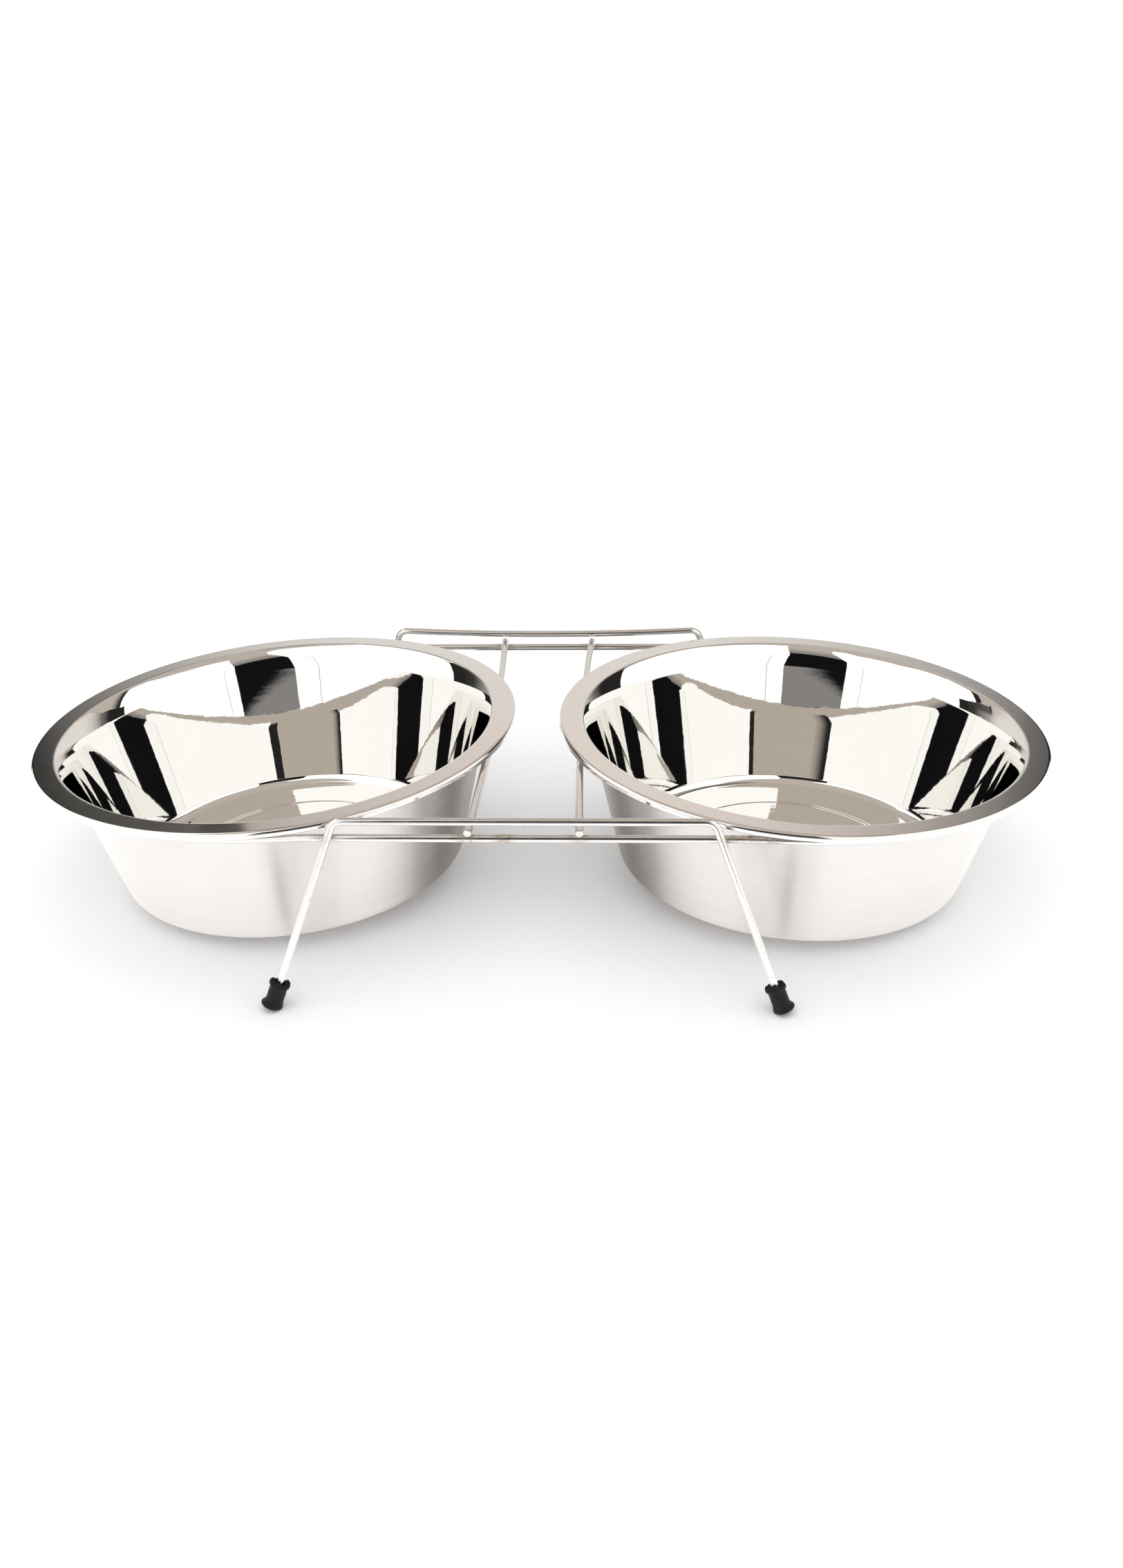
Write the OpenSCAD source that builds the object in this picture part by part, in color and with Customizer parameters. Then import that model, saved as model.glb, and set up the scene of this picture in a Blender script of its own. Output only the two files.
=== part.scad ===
// Double pet bowl feeder: two stainless bowls hung in a bent wire stand on four rubber feet.
// Millimetres. The origin is on the floor under the middle of the stand,
// +X runs to the right along the two bowls, +Y to the back and +Z up.

/* [Bowls] */
// outside diameter of the rim
rim_d = 215; // [200:1:230]
// width of the flat rim, from the lip to where it turns down into the bowl
rim_w = 9.1; // [8.5:0.1:10.5]
// height of the turned-down lip
lip_h = 2.8; // [2.2:0.1:3.4]
// height from the top of the rim to the underside of the base
bowl_h = 67.2; // [58:0.2:78]
// diameter of the flat of the base
base_d = 145; // [132:1:150]
// outside radius of the corner between wall and base
base_round = 6; // [4:0.5:9]
// slope of the wall where it leaves the mouth, in degrees off upright
mouth_slope = 38; // [34:0.5:40]
// radius of the soft flare of the wall below the mouth
flare_r = 26; // [22:1:30]
// diameter of the raised disc in the floor
disc_d = 101; // [80:1:112]
// rise of the disc
disc_rise = 0.9; // [0.5:0.1:1.4]
// thickness of the steel sheet
sheet = 0.7; // [0.5:0.05:0.9]
// outward tilt of each bowl, in degrees
bowl_tilt = 2.9; // [2:0.1:3.6]
// gap between the two rims
rim_gap = 20; // [16:1:28]
// clearance between the floor and the lowest point of a bowl
floor_gap = 3.6; // [2:0.2:8]

/* [Stand] */
// diameter of the wire
wire_d = 3.2; // [2.8:0.1:3.6]
// drop of each end of the loop below its straight middle
end_drop = 3.8; // [2:0.2:4.4]
// room between the loop and the lip of a rim
lip_room = 2.3; // [1.6:0.1:3]
// distance that the middle of a cross rod is pushed in by its bowl
rod_bow = 2.2; // [1:0.1:3]
// distance between the corners of a top bar
bar_w = 148.6; // [136:0.2:154]
// inside bend radius where a bar turns into a leg
bend_inside = 2.9; // [2:0.1:5]
// sag of the rear top bar
rear_sag = 1.8; // [0.6:0.1:3]
// gap between the sagging bar and the ends of the cross rods
bar_room = 0.3; // [0.2:0.1:2.5]
// angle that the legs spread sideways
leg_splay = 19.9; // [14:0.1:24]
// angle that the legs lean to the front and the back
leg_lean = 9; // [6:0.1:14]

/* [Feet] */
// diameter of the foot's body
foot_d = 7.2; // [6.6:0.1:8]
// diameter of the foot's base
foot_base_d = 9.8; // [9:0.1:11]
// diameter of the bead around the foot's mouth
foot_bead_d = 8.6; // [8.2:0.1:9.4]
// length of the foot
foot_len = 11; // [10:0.2:14]
// depth that the base is pressed flat on the floor
foot_squash = 0.6; // [0.4:0.05:0.9]

/* [Fits] */
// gap left between a seated bowl and the wires
seat_gap = 0.3; // [0.2:0.05:0.4]
// gap between a cross rod and the wall of its bowl
rod_gap = 1.2; // [0.3:0.1:1.6]
// depth that two wires sink into each other at a weld
weld_set = 0.4; // [0.2:0.05:0.6]

/* [Hidden] */
$fn = 96;
over = 1;
wire_r = wire_d / 2;

// neighbouring lengths run into each other this far, and their surfaces differ by a hair there
run_in = 0.15;
sheet_hair = 0.01;
wire_hair = 0.03;

// bowl section: radius across, height up, with the top of the rim at height 0
rim_r = rim_d / 2;
lip_round = 1.5;
mouth_round = 2.2;
mouth_r = rim_r - rim_w;
base_r = base_d / 2;
disc_r = disc_d / 2;
disc_ramp = 4.5;
mouth_centre = [mouth_r, -mouth_round];
mouth_out = [cos(mouth_slope), -sin(mouth_slope)];
base_centre = [base_r, base_round - bowl_h];

// the flare curls about a point outside the bowl and runs into the straight wall below it
flare_centre = mouth_centre + (flare_r - mouth_round) * mouth_out;
flare_out = flare_r - sheet;
flare_to_base = flare_centre - base_centre;
wall_taper = acos((flare_out + base_round) / norm(flare_to_base)) - atan2(flare_to_base[1], flare_to_base[0]);
wall_out = [cos(wall_taper), -sin(wall_taper)];

// where each bowl hangs
bowl_x = rim_r * cos(bowl_tilt) + rim_gap / 2;
rim_z = floor_gap + base_r * sin(bowl_tilt) + bowl_h * cos(bowl_tilt)
    + base_round * (1 - cos(bowl_tilt));

// the end of the loop lies under the rim and against the wall of the bowl
hug = wire_r + seat_gap;
end_down = sheet + hug;
end_out = flare_centre[0] - sqrt(pow(flare_out - hug, 2) - pow(flare_centre[1] + end_down, 2));
end_x = bowl_x + end_out * cos(bowl_tilt) - end_down * sin(bowl_tilt);
end_z = rim_z - end_out * sin(bowl_tilt) - end_down * cos(bowl_tilt);
loop_y = rim_r - sheet - lip_room - wire_r;
loop_z = end_z + end_drop;

// the cross rods sit on the loop, beside the flare of the bowls
wire_step = wire_d - weld_set;
rod_z = loop_z + wire_step;
flare_x = bowl_x - flare_centre[0] * cos(bowl_tilt) + flare_centre[1] * sin(bowl_tilt);
flare_z = rim_z + flare_centre[0] * sin(bowl_tilt) + flare_centre[1] * cos(bowl_tilt);
rod_x = flare_x + sqrt(pow(flare_out - wire_r - rod_gap, 2) - pow(rod_z - flare_z, 2));
rod_half = loop_y + wire_r;
rod_turn = 2 * atan(rod_bow / rod_half);
rod_radius = rod_half / sin(rod_turn);

// the leg wires, drawn flat and then leaned outward about the loop
bend_r = bend_inside + wire_r;
leg_y = loop_y + wire_step / cos(leg_lean);
bar_rise = wire_step + wire_d + bar_room + rear_sag;
bar_v = bar_rise / cos(leg_lean);
bend_turn = 90 - leg_splay;
half_bar = bar_w / 2 - bend_r * tan(bend_turn / 2);
foot_base_r = foot_base_d / 2;
foot_tip = acos(cos(leg_lean) * cos(leg_splay));
foot_v = (foot_base_r * sin(foot_tip) - foot_squash - loop_z) / cos(leg_lean);
foot_floor = 3;
foot_fit = 0.05;
mouth_depth = 1.2;
mouth_flare = 0.9;
base_edge = 0.8;
base_flare = 1.6;
bead_r = 1;
under_floor = 3 * rim_d;

// each end of the loop bends down just outside the legs
kink_past_leg = 2.5 * wire_d;
kink_x = bar_w / 2 + bar_v * tan(leg_splay) + kink_past_leg;
kink_turn = atan(end_drop / (end_x - kink_x));
kink_radius = 60;
kink_run = kink_radius * tan(kink_turn / 2);
end_run = (end_x - kink_x) / cos(kink_turn) - loop_y - kink_run;

steel = [0.80, 0.79, 0.77];
plated = [0.90, 0.90, 0.89];
black = [0.07, 0.07, 0.07];

// angle that a run along an arc takes up
function arc_turn(run, radius) = run / radius * 180 / PI;

// how far the tangent of a top bar has turned up where it meets its corner bend
function sag_turn(sag) = 2 * atan(sag / half_bar);

// lower end of a corner bend, in the flat drawing of a leg wire
function leg_top(sag) = [
    half_bar + bend_r * (sin(sag_turn(sag)) + sin(bend_turn)),
    bar_v - bend_r * (cos(sag_turn(sag)) - cos(bend_turn))
];

// length of a leg from its bend to the middle of the foot's base
function leg_length(sag) = (leg_top(sag)[1] - foot_v) / cos(leg_splay);

// rounded corner of the sheet between two directions, run into the straight sheet at both ends
module sheet_bend(centre, outer, from, to, hair = sheet_hair) {
    far = 2 * outer;
    extra = arc_turn(run_in, outer);
    start = from - extra;
    end = to + extra;
    middle = (from + to) / 2;
    translate(centre)
        intersection() {
            difference() {
                circle(r = outer - hair);
                circle(r = outer - sheet + hair);
            }
            polygon([
                [0, 0],
                far * [cos(start), sin(start)],
                far * [cos(middle), sin(middle)],
                far * [cos(end), sin(end)]
            ]);
        }
}

module bowl_section() {
    // lip and flat rim
    translate([rim_r - sheet, -lip_h])
        square([sheet, lip_h - lip_round]);
    sheet_bend([rim_r - lip_round, -lip_round], lip_round, 0, 90);
    translate([mouth_r, -sheet])
        square([rim_r - lip_round - mouth_r, sheet]);

    // wall, with its bends at the mouth and the base
    sheet_bend(mouth_centre, mouth_round, 90, 180 - mouth_slope, 2 * sheet_hair);
    sheet_bend(flare_centre, flare_r, 180 - mouth_slope, 180 - wall_taper);
    polygon([
        flare_centre - flare_r * wall_out,
        base_centre + (base_round - sheet) * wall_out,
        base_centre + base_round * wall_out,
        flare_centre - flare_out * wall_out
    ]);
    sheet_bend(base_centre, base_round, -90, -wall_taper);

    // floor with its raised disc
    translate([0, -bowl_h])
        polygon([
            [0, disc_rise],
            [disc_r, disc_rise],
            [disc_r + disc_ramp, 0],
            [base_r, 0],
            [base_r, sheet],
            [disc_r + disc_ramp, sheet],
            [disc_r, disc_rise + sheet],
            [0, disc_rise + sheet]
        ]);
}

module bowl() {
    color(steel)
        translate([bowl_x, 0, rim_z])
            rotate([0, bowl_tilt, 0])
                rotate_extrude()
                    bowl_section();
}

// a straight length of wire along X
module straight(from, to) {
    translate([from, 0, 0])
        rotate([0, 90, 0])
            cylinder(r = wire_r, h = to - from);
}

// a bend of wire that leaves the origin along +X and turns toward +Y
module bend(radius, turn) {
    translate([0, radius, 0])
        rotate([0, 0, -90])
            rotate_extrude(angle = turn)
                translate([radius, 0])
                    circle(r = wire_r + wire_hair);
}

// moves the drawing to the far end of such a bend
module after_bend(radius, turn) {
    translate([radius * sin(turn), radius * (1 - cos(turn)), 0])
        rotate([0, 0, turn])
            children();
}

// a wide shallow arc of wire with its middle at the origin, curling toward +Y at both ends
module shallow_arc(radius, turn) {
    translate([0, radius, 0])
        rotate([0, 0, -90 - turn])
            rotate_extrude(angle = 2 * turn)
                translate([radius, 0])
                    circle(r = wire_r);
}

// one end of the loop, from the bends just outside the legs
module loop_end() {
    for (back = [0, 1])
        mirror([0, back, 0])
            translate([kink_x - kink_run, -loop_y, loop_z])
                rotate([-90, 0, 0]) {
                    bend(kink_radius, kink_turn);
                    after_bend(kink_radius, kink_turn)
                        straight(-run_in, end_run + run_in);
                }
    translate([kink_x, 0, loop_z])
        rotate([0, kink_turn, 0])
            translate([kink_run + end_run, -loop_y, 0])
                bend(loop_y, 180);
}

module cradle_loop() {
    middle = kink_x - kink_run + run_in;
    color(plated) {
        for (side = [-1, 1])
            translate([0, side * loop_y, loop_z])
                straight(-middle, middle);
        loop_end();
        mirror([1, 0, 0])
            loop_end();
    }
}

module cross_rod() {
    color(plated)
        translate([rod_x, 0, rod_z])
            rotate([0, 0, -90])
                shallow_arc(rod_radius, rod_turn);
}

// stands the flat drawing of a leg wire up at the front and leans it outward
module leaning() {
    translate([0, -leg_y, loop_z])
        rotate([90 - leg_lean, 0, 0])
            children();
}

module top_bar(sag) {
    translate([0, bar_v - sag, 0])
        if (sag == 0) {
            straight(-half_bar - run_in, half_bar + run_in);
        } else {
            sag_radius = half_bar / sin(sag_turn(sag));
            shallow_arc(sag_radius, sag_turn(sag) + arc_turn(run_in, sag_radius));
        }
}

module leg(sag) {
    top = leg_top(sag);
    translate([half_bar, bar_v, 0])
        rotate([0, 0, sag_turn(sag)])
            mirror([0, 1, 0])
                bend(bend_r, bend_turn + sag_turn(sag));
    translate([top[0], top[1], 0])
        rotate([0, 0, -bend_turn])
            straight(-run_in, leg_length(sag) - foot_floor);
}

module leg_wire(sag) {
    color(plated)
        leaning() {
            top_bar(sag);
            leg(sag);
            mirror([1, 0, 0])
                leg(sag);
        }
}

module foot_section() {
    difference() {
        union() {
            // flared base with a rounded edge
            square([foot_base_r - base_edge, 2 * base_edge]);
            translate([foot_base_r - base_edge, base_edge])
                circle(r = base_edge);
            polygon([
                [0, base_edge],
                [foot_base_r - base_edge, base_edge],
                [foot_base_r - base_edge, 2 * base_edge],
                [foot_d / 2, 2 * base_edge + base_flare],
                [0, 2 * base_edge + base_flare]
            ]);
            // body, and the bead around its mouth
            square([foot_d / 2, foot_len]);
            translate([foot_bead_d / 2 - bead_r, foot_len - bead_r])
                circle(r = bead_r);
        }
        // hole for the leg, opened out at the mouth
        translate([0, foot_floor - foot_fit])
            square([wire_r + foot_fit, foot_len]);
        polygon([
            [0, foot_len - mouth_depth],
            [wire_r + foot_fit, foot_len - mouth_depth],
            [wire_r + foot_fit + mouth_flare, foot_len + over],
            [0, foot_len + over]
        ]);
    }
}

// the foot at the front right, with its base pressed flat on the floor
module foot(sag) {
    top = leg_top(sag);
    color(black)
        difference() {
            leaning()
                translate([top[0], top[1], 0])
                    rotate([0, 0, -bend_turn])
                        translate([leg_length(sag), 0, 0])
                            rotate([0, -90, 0])
                                rotate_extrude()
                                    foot_section();
            translate([0, -under_floor, -foot_len])
                cube([under_floor, under_floor, foot_len]);
        }
}

module left_bowl() {
    mirror([1, 0, 0]) bowl();
}

module right_bowl() {
    bowl();
}

module left_cross_rod() {
    mirror([1, 0, 0]) cross_rod();
}

module right_cross_rod() {
    cross_rod();
}

module front_leg_wire() {
    leg_wire(0);
}

module rear_leg_wire() {
    mirror([0, 1, 0]) leg_wire(rear_sag);
}

module front_right_foot() {
    foot(0);
}

module front_left_foot() {
    mirror([1, 0, 0]) foot(0);
}

module rear_right_foot() {
    mirror([0, 1, 0]) foot(rear_sag);
}

module rear_left_foot() {
    mirror([1, 0, 0]) mirror([0, 1, 0]) foot(rear_sag);
}

left_bowl();
right_bowl();
cradle_loop();
left_cross_rod();
right_cross_rod();
front_leg_wire();
rear_leg_wire();
front_left_foot();
front_right_foot();
rear_left_foot();
rear_right_foot();
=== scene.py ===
import math

import bmesh
import bpy
from mathutils import Matrix, Vector, noise


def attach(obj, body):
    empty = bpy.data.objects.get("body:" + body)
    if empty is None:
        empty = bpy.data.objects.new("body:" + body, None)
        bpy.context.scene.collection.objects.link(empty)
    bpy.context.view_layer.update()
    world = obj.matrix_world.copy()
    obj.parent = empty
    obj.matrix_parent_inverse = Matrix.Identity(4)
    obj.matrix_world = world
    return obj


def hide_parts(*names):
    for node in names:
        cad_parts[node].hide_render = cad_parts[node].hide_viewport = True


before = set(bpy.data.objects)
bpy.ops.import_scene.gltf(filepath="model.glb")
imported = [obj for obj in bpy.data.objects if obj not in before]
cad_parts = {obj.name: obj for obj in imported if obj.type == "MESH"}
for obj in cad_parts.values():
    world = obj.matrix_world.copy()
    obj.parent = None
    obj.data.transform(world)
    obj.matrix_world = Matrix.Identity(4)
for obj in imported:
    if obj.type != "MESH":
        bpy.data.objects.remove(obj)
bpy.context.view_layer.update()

mm = 0.001
bothSides = ((-1, "left"), (1, "right"))


# small tools for numbers and meshes


def ease(value, low, high):
    # from 0 at low to 1 at high, soft at both ends
    share = min(max((value - low) / (high - low), 0), 1)
    return share * share * (3 - 2 * share)


def mixed(first, second, share):
    return tuple(a + (b - a) * share for a, b in zip(first, second))


def onCircle(centre, radius, turn):
    return (centre[0] + radius * math.cos(turn), centre[1] + radius * math.sin(turn))


def linePart(a, b, steps, normal):
    # points from a to b without b, all with the same normal
    return [mixed(a, b, i / steps) + tuple(normal) for i in range(steps)]


def arcPart(centre, radius, start, end, steps, side=1):
    # points on an arc without its last one; side -1 turns the normals to the centre
    points = []
    for i in range(steps):
        turn = math.radians(start + (end - start) * i / steps)
        points.append(onCircle(centre, radius, turn) + (side * math.cos(turn), side * math.sin(turn)))
    return points


def lathe(name, profile, steps):
    # profile: (radius, height, normal out, normal up, zone)
    # the zone is the finish of the band up to the next point
    verts, normals, faces, zones, rings = [], [], [], [], []
    for r, z, nr, nz, zone in profile:
        if r < 1e-7:    # on the axis
            rings.append([len(verts)])
            verts.append((0, 0, z))
            normals.append((0, 0, nz))
            continue
        rings.append(list(range(len(verts), len(verts) + steps)))
        for i in range(steps):
            turn = 2 * math.pi * i / steps
            c, s = math.cos(turn), math.sin(turn)
            verts.append((r * c, r * s, z))
            normals.append((nr * c, nr * s, nz))
    for k in range(len(profile) - 1):
        a, b = rings[k], rings[k + 1]
        for i in range(steps):
            j = (i + 1) % steps
            if len(a) == 1:
                faces.append((a[0], b[i], b[j]))
            elif len(b) == 1:
                faces.append((a[j], a[i], b[0]))
            else:
                faces.append((a[j], a[i], b[i], b[j]))
            zones.append(profile[k][4])
    mesh = bpy.data.meshes.new(name)
    mesh.from_pydata(verts, [], faces)
    mesh.polygons.foreach_set("use_smooth", [True] * len(faces))
    mesh.polygons.foreach_set("material_index", zones)
    mesh.normals_split_custom_set_from_vertices(normals)
    mesh.update()
    return mesh


def addObject(name, mesh, materials, matrix=None):
    thing = bpy.data.objects.new(name, mesh)
    bpy.context.scene.collection.objects.link(thing)
    for material in materials:
        mesh.materials.append(material)
    if matrix is not None:
        thing.matrix_world = matrix
    return thing


def place(thing, body, node):
    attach(thing, body)
    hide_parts(node)


# small tools for the materials


def newMaterial(name, sockets):
    material = bpy.data.materials.new(name)
    material.use_nodes = True
    shader = material.node_tree.nodes["Principled BSDF"]
    for key, value in sockets.items():
        shader.inputs[key].default_value = value
    return material, material.node_tree, shader


def emptyMaterial(name):
    material = bpy.data.materials.new(name)
    material.use_nodes = True
    material.node_tree.nodes.clear()
    return material, material.node_tree


def setSocket(tree, socket, value):
    if hasattr(value, "is_output"):
        tree.links.new(value, socket)
    else:
        socket.default_value = value


def addNode(tree, kind, inputs=None, **settings):
    node = tree.nodes.new(kind)
    for key, value in settings.items():
        setattr(node, key, value)
    for key, value in (inputs or {}).items():
        setSocket(tree, node.inputs[key], value)
    return node


def feed(tree, shader, sockets):
    for key, value in sockets.items():
        tree.links.new(value, shader.inputs[key])


def objectSpot(tree):
    return addNode(tree, "ShaderNodeTexCoord").outputs["Object"]


def mathNode(tree, operation, a, b=0.0):
    return addNode(tree, "ShaderNodeMath", {0: a, 1: b}, operation=operation).outputs[0]


def spread(tree, value, fromLow, fromHigh, toLow, toHigh):
    return addNode(tree, "ShaderNodeMapRange", {
        "Value": value, "From Min": fromLow, "From Max": fromHigh, "To Min": toLow, "To Max": toHigh}).outputs[0]


def noiseNode(tree, vector, scale, detail=2.0, rough=0.5):
    return addNode(tree, "ShaderNodeTexNoise", {
        "Vector": vector, "Scale": scale, "Detail": detail, "Roughness": rough}).outputs["Fac"]


def bumpNode(tree, height, depth, strength=1.0, under=None):
    # under is a coarser bump that this one lies on
    inputs = {"Strength": strength, "Distance": depth, "Height": height}
    if under is not None:
        inputs["Normal"] = under
    return addNode(tree, "ShaderNodeBump", inputs).outputs[0]


def blendColours(tree, factor, first, second):
    node = addNode(tree, "ShaderNodeMix", data_type="RGBA")
    for name, value in (("Factor_Float", factor), ("A_Color", first), ("B_Color", second)):
        setSocket(tree, next(i for i in node.inputs if i.identifier == name), value)
    return next(o for o in node.outputs if o.identifier == "Result_Color")


def turnedLines(tree, across, along, detail):
    # fine across the turning lines of a spun bowl, slow along them
    parts = addNode(tree, "ShaderNodeSeparateXYZ", {0: objectSpot(tree)}).outputs
    flat = addNode(tree, "ShaderNodeCombineXYZ", {"X": parts["X"], "Y": parts["Y"]}).outputs[0]
    radius = addNode(tree, "ShaderNodeVectorMath", {0: flat}, operation="LENGTH").outputs["Value"]
    turned = addNode(tree, "ShaderNodeCombineXYZ", {
        "X": mathNode(tree, "MULTIPLY", mathNode(tree, "ADD", radius, parts["Z"]), across),
        "Y": mathNode(tree, "MULTIPLY", parts["X"], along),
        "Z": mathNode(tree, "MULTIPLY", parts["Y"], along)}).outputs[0]
    return noiseNode(tree, turned, 1.0, detail)


# steel of the bowls: mirror inside, bright rim, satin outside

mirrorSteel = {"colour": (0.905, 0.895, 0.872, 1), "smudged": (0.89, 0.878, 0.85, 1), "smudgeScale": 28,
               "roughLow": 0.01, "roughHigh": 0.035, "waveScale": 38, "waveDepth": 0.02 * mm,
               "rippleScale": 260, "rippleDepth": 0.005 * mm,
               "lines": 420, "linesAlong": 45, "lineDepth": 0.002 * mm}


def makeMirrorSteel():
    look = mirrorSteel
    material, tree, shader = newMaterial("mirrorSteel", {"Metallic": 1.0})
    spot = objectSpot(tree)
    lines = turnedLines(tree, look["lines"], look["linesAlong"], 2)
    waves = noiseNode(tree, spot, look["waveScale"], 1, 0.4)
    ripple = noiseNode(tree, spot, look["rippleScale"], 1)
    smudge = noiseNode(tree, spot, look["smudgeScale"], 4, 0.6)
    wavy = bumpNode(tree, waves, look["waveDepth"])
    rippled = bumpNode(tree, ripple, look["rippleDepth"], under=wavy)
    feed(tree, shader, {
        "Base Color": blendColours(tree, spread(tree, smudge, 0.3, 0.75, 0, 1), look["colour"], look["smudged"]),
        "Roughness": spread(tree, smudge, 0.35, 0.75, look["roughLow"], look["roughHigh"]),
        "Normal": bumpNode(tree, lines, look["lineDepth"], under=rippled)})
    return material


rimSteel = {"colour": (0.88, 0.86, 0.835, 1), "lineColour": (0.83, 0.81, 0.785, 1), "hazeScale": 45,
            "roughLow": 0.06, "roughHigh": 0.12, "lines": 620, "linesAlong": 18, "lineDepth": 0.002 * mm}


def makeRimSteel():
    look = rimSteel
    material, tree, shader = newMaterial("rimSteel", {"Metallic": 1.0})
    lines = turnedLines(tree, look["lines"], look["linesAlong"], 2)
    haze = noiseNode(tree, objectSpot(tree), look["hazeScale"], 3, 0.55)
    feed(tree, shader, {
        "Base Color": blendColours(tree, lines, look["colour"], look["lineColour"]),
        "Roughness": spread(tree, haze, 0.3, 0.7, look["roughLow"], look["roughHigh"]),
        "Normal": bumpNode(tree, lines, look["lineDepth"])})
    return material


brushedSteel = {"colour": (0.875, 0.858, 0.842, 1), "lineColour": (0.80, 0.78, 0.76, 1), "blotchScale": 32,
                "roughLow": 0.31, "roughHigh": 0.35, "lines": 260, "linesAlong": 14, "lineDepth": 0.0008 * mm}


def makeBrushedSteel():
    look = brushedSteel
    material, tree, shader = newMaterial("brushedSteel", {
        "Metallic": 1.0, "Anisotropic": 1.0, "Anisotropic Rotation": 0.25})    # smears up and down, across the lines
    lines = turnedLines(tree, look["lines"], look["linesAlong"], 1)
    blotch = noiseNode(tree, objectSpot(tree), look["blotchScale"], 3)
    worn = mathNode(tree, "MULTIPLY", lines, blotch)
    feed(tree, shader, {
        "Base Color": blendColours(tree, worn, look["colour"], look["lineColour"]),
        "Roughness": spread(tree, blotch, 0.3, 0.7, look["roughLow"], look["roughHigh"]),
        "Normal": bumpNode(tree, lines, look["lineDepth"]),
        "Tangent": addNode(tree, "ShaderNodeTangent", direction_type="RADIAL", axis="Z").outputs[0]})
    return material


# the two bowls

bowl = {
    "rimRadius": 107.5 * mm, "rimWidth": 9.1 * mm, "lipHeight": 2.8 * mm, "lipRound": 1.5 * mm,
    "mouthRound": 2.2 * mm, "mouthSlope": 38, "mirrorEnd": 100, "flareRadius": 26 * mm,
    "height": 67.2 * mm, "baseRadius": 72.5 * mm, "baseRound": 6 * mm,
    "discRadius": 50.5 * mm, "discRamp": 4.5 * mm, "discRise": 0.9 * mm, "sheet": 0.7 * mm,
    "footEase": 0.9, "topEase": 0.2,    # degrees by which the inside leans more than the wall
    "tilt": 2.9, "reach": 117.362 * mm, "rimTop": 74.39 * mm,
    "around": 320, "wallSteps": 24, "flareSteps": 20, "baseSteps": 14, "rampSteps": 12, "floorSteps": 5,
}


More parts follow.
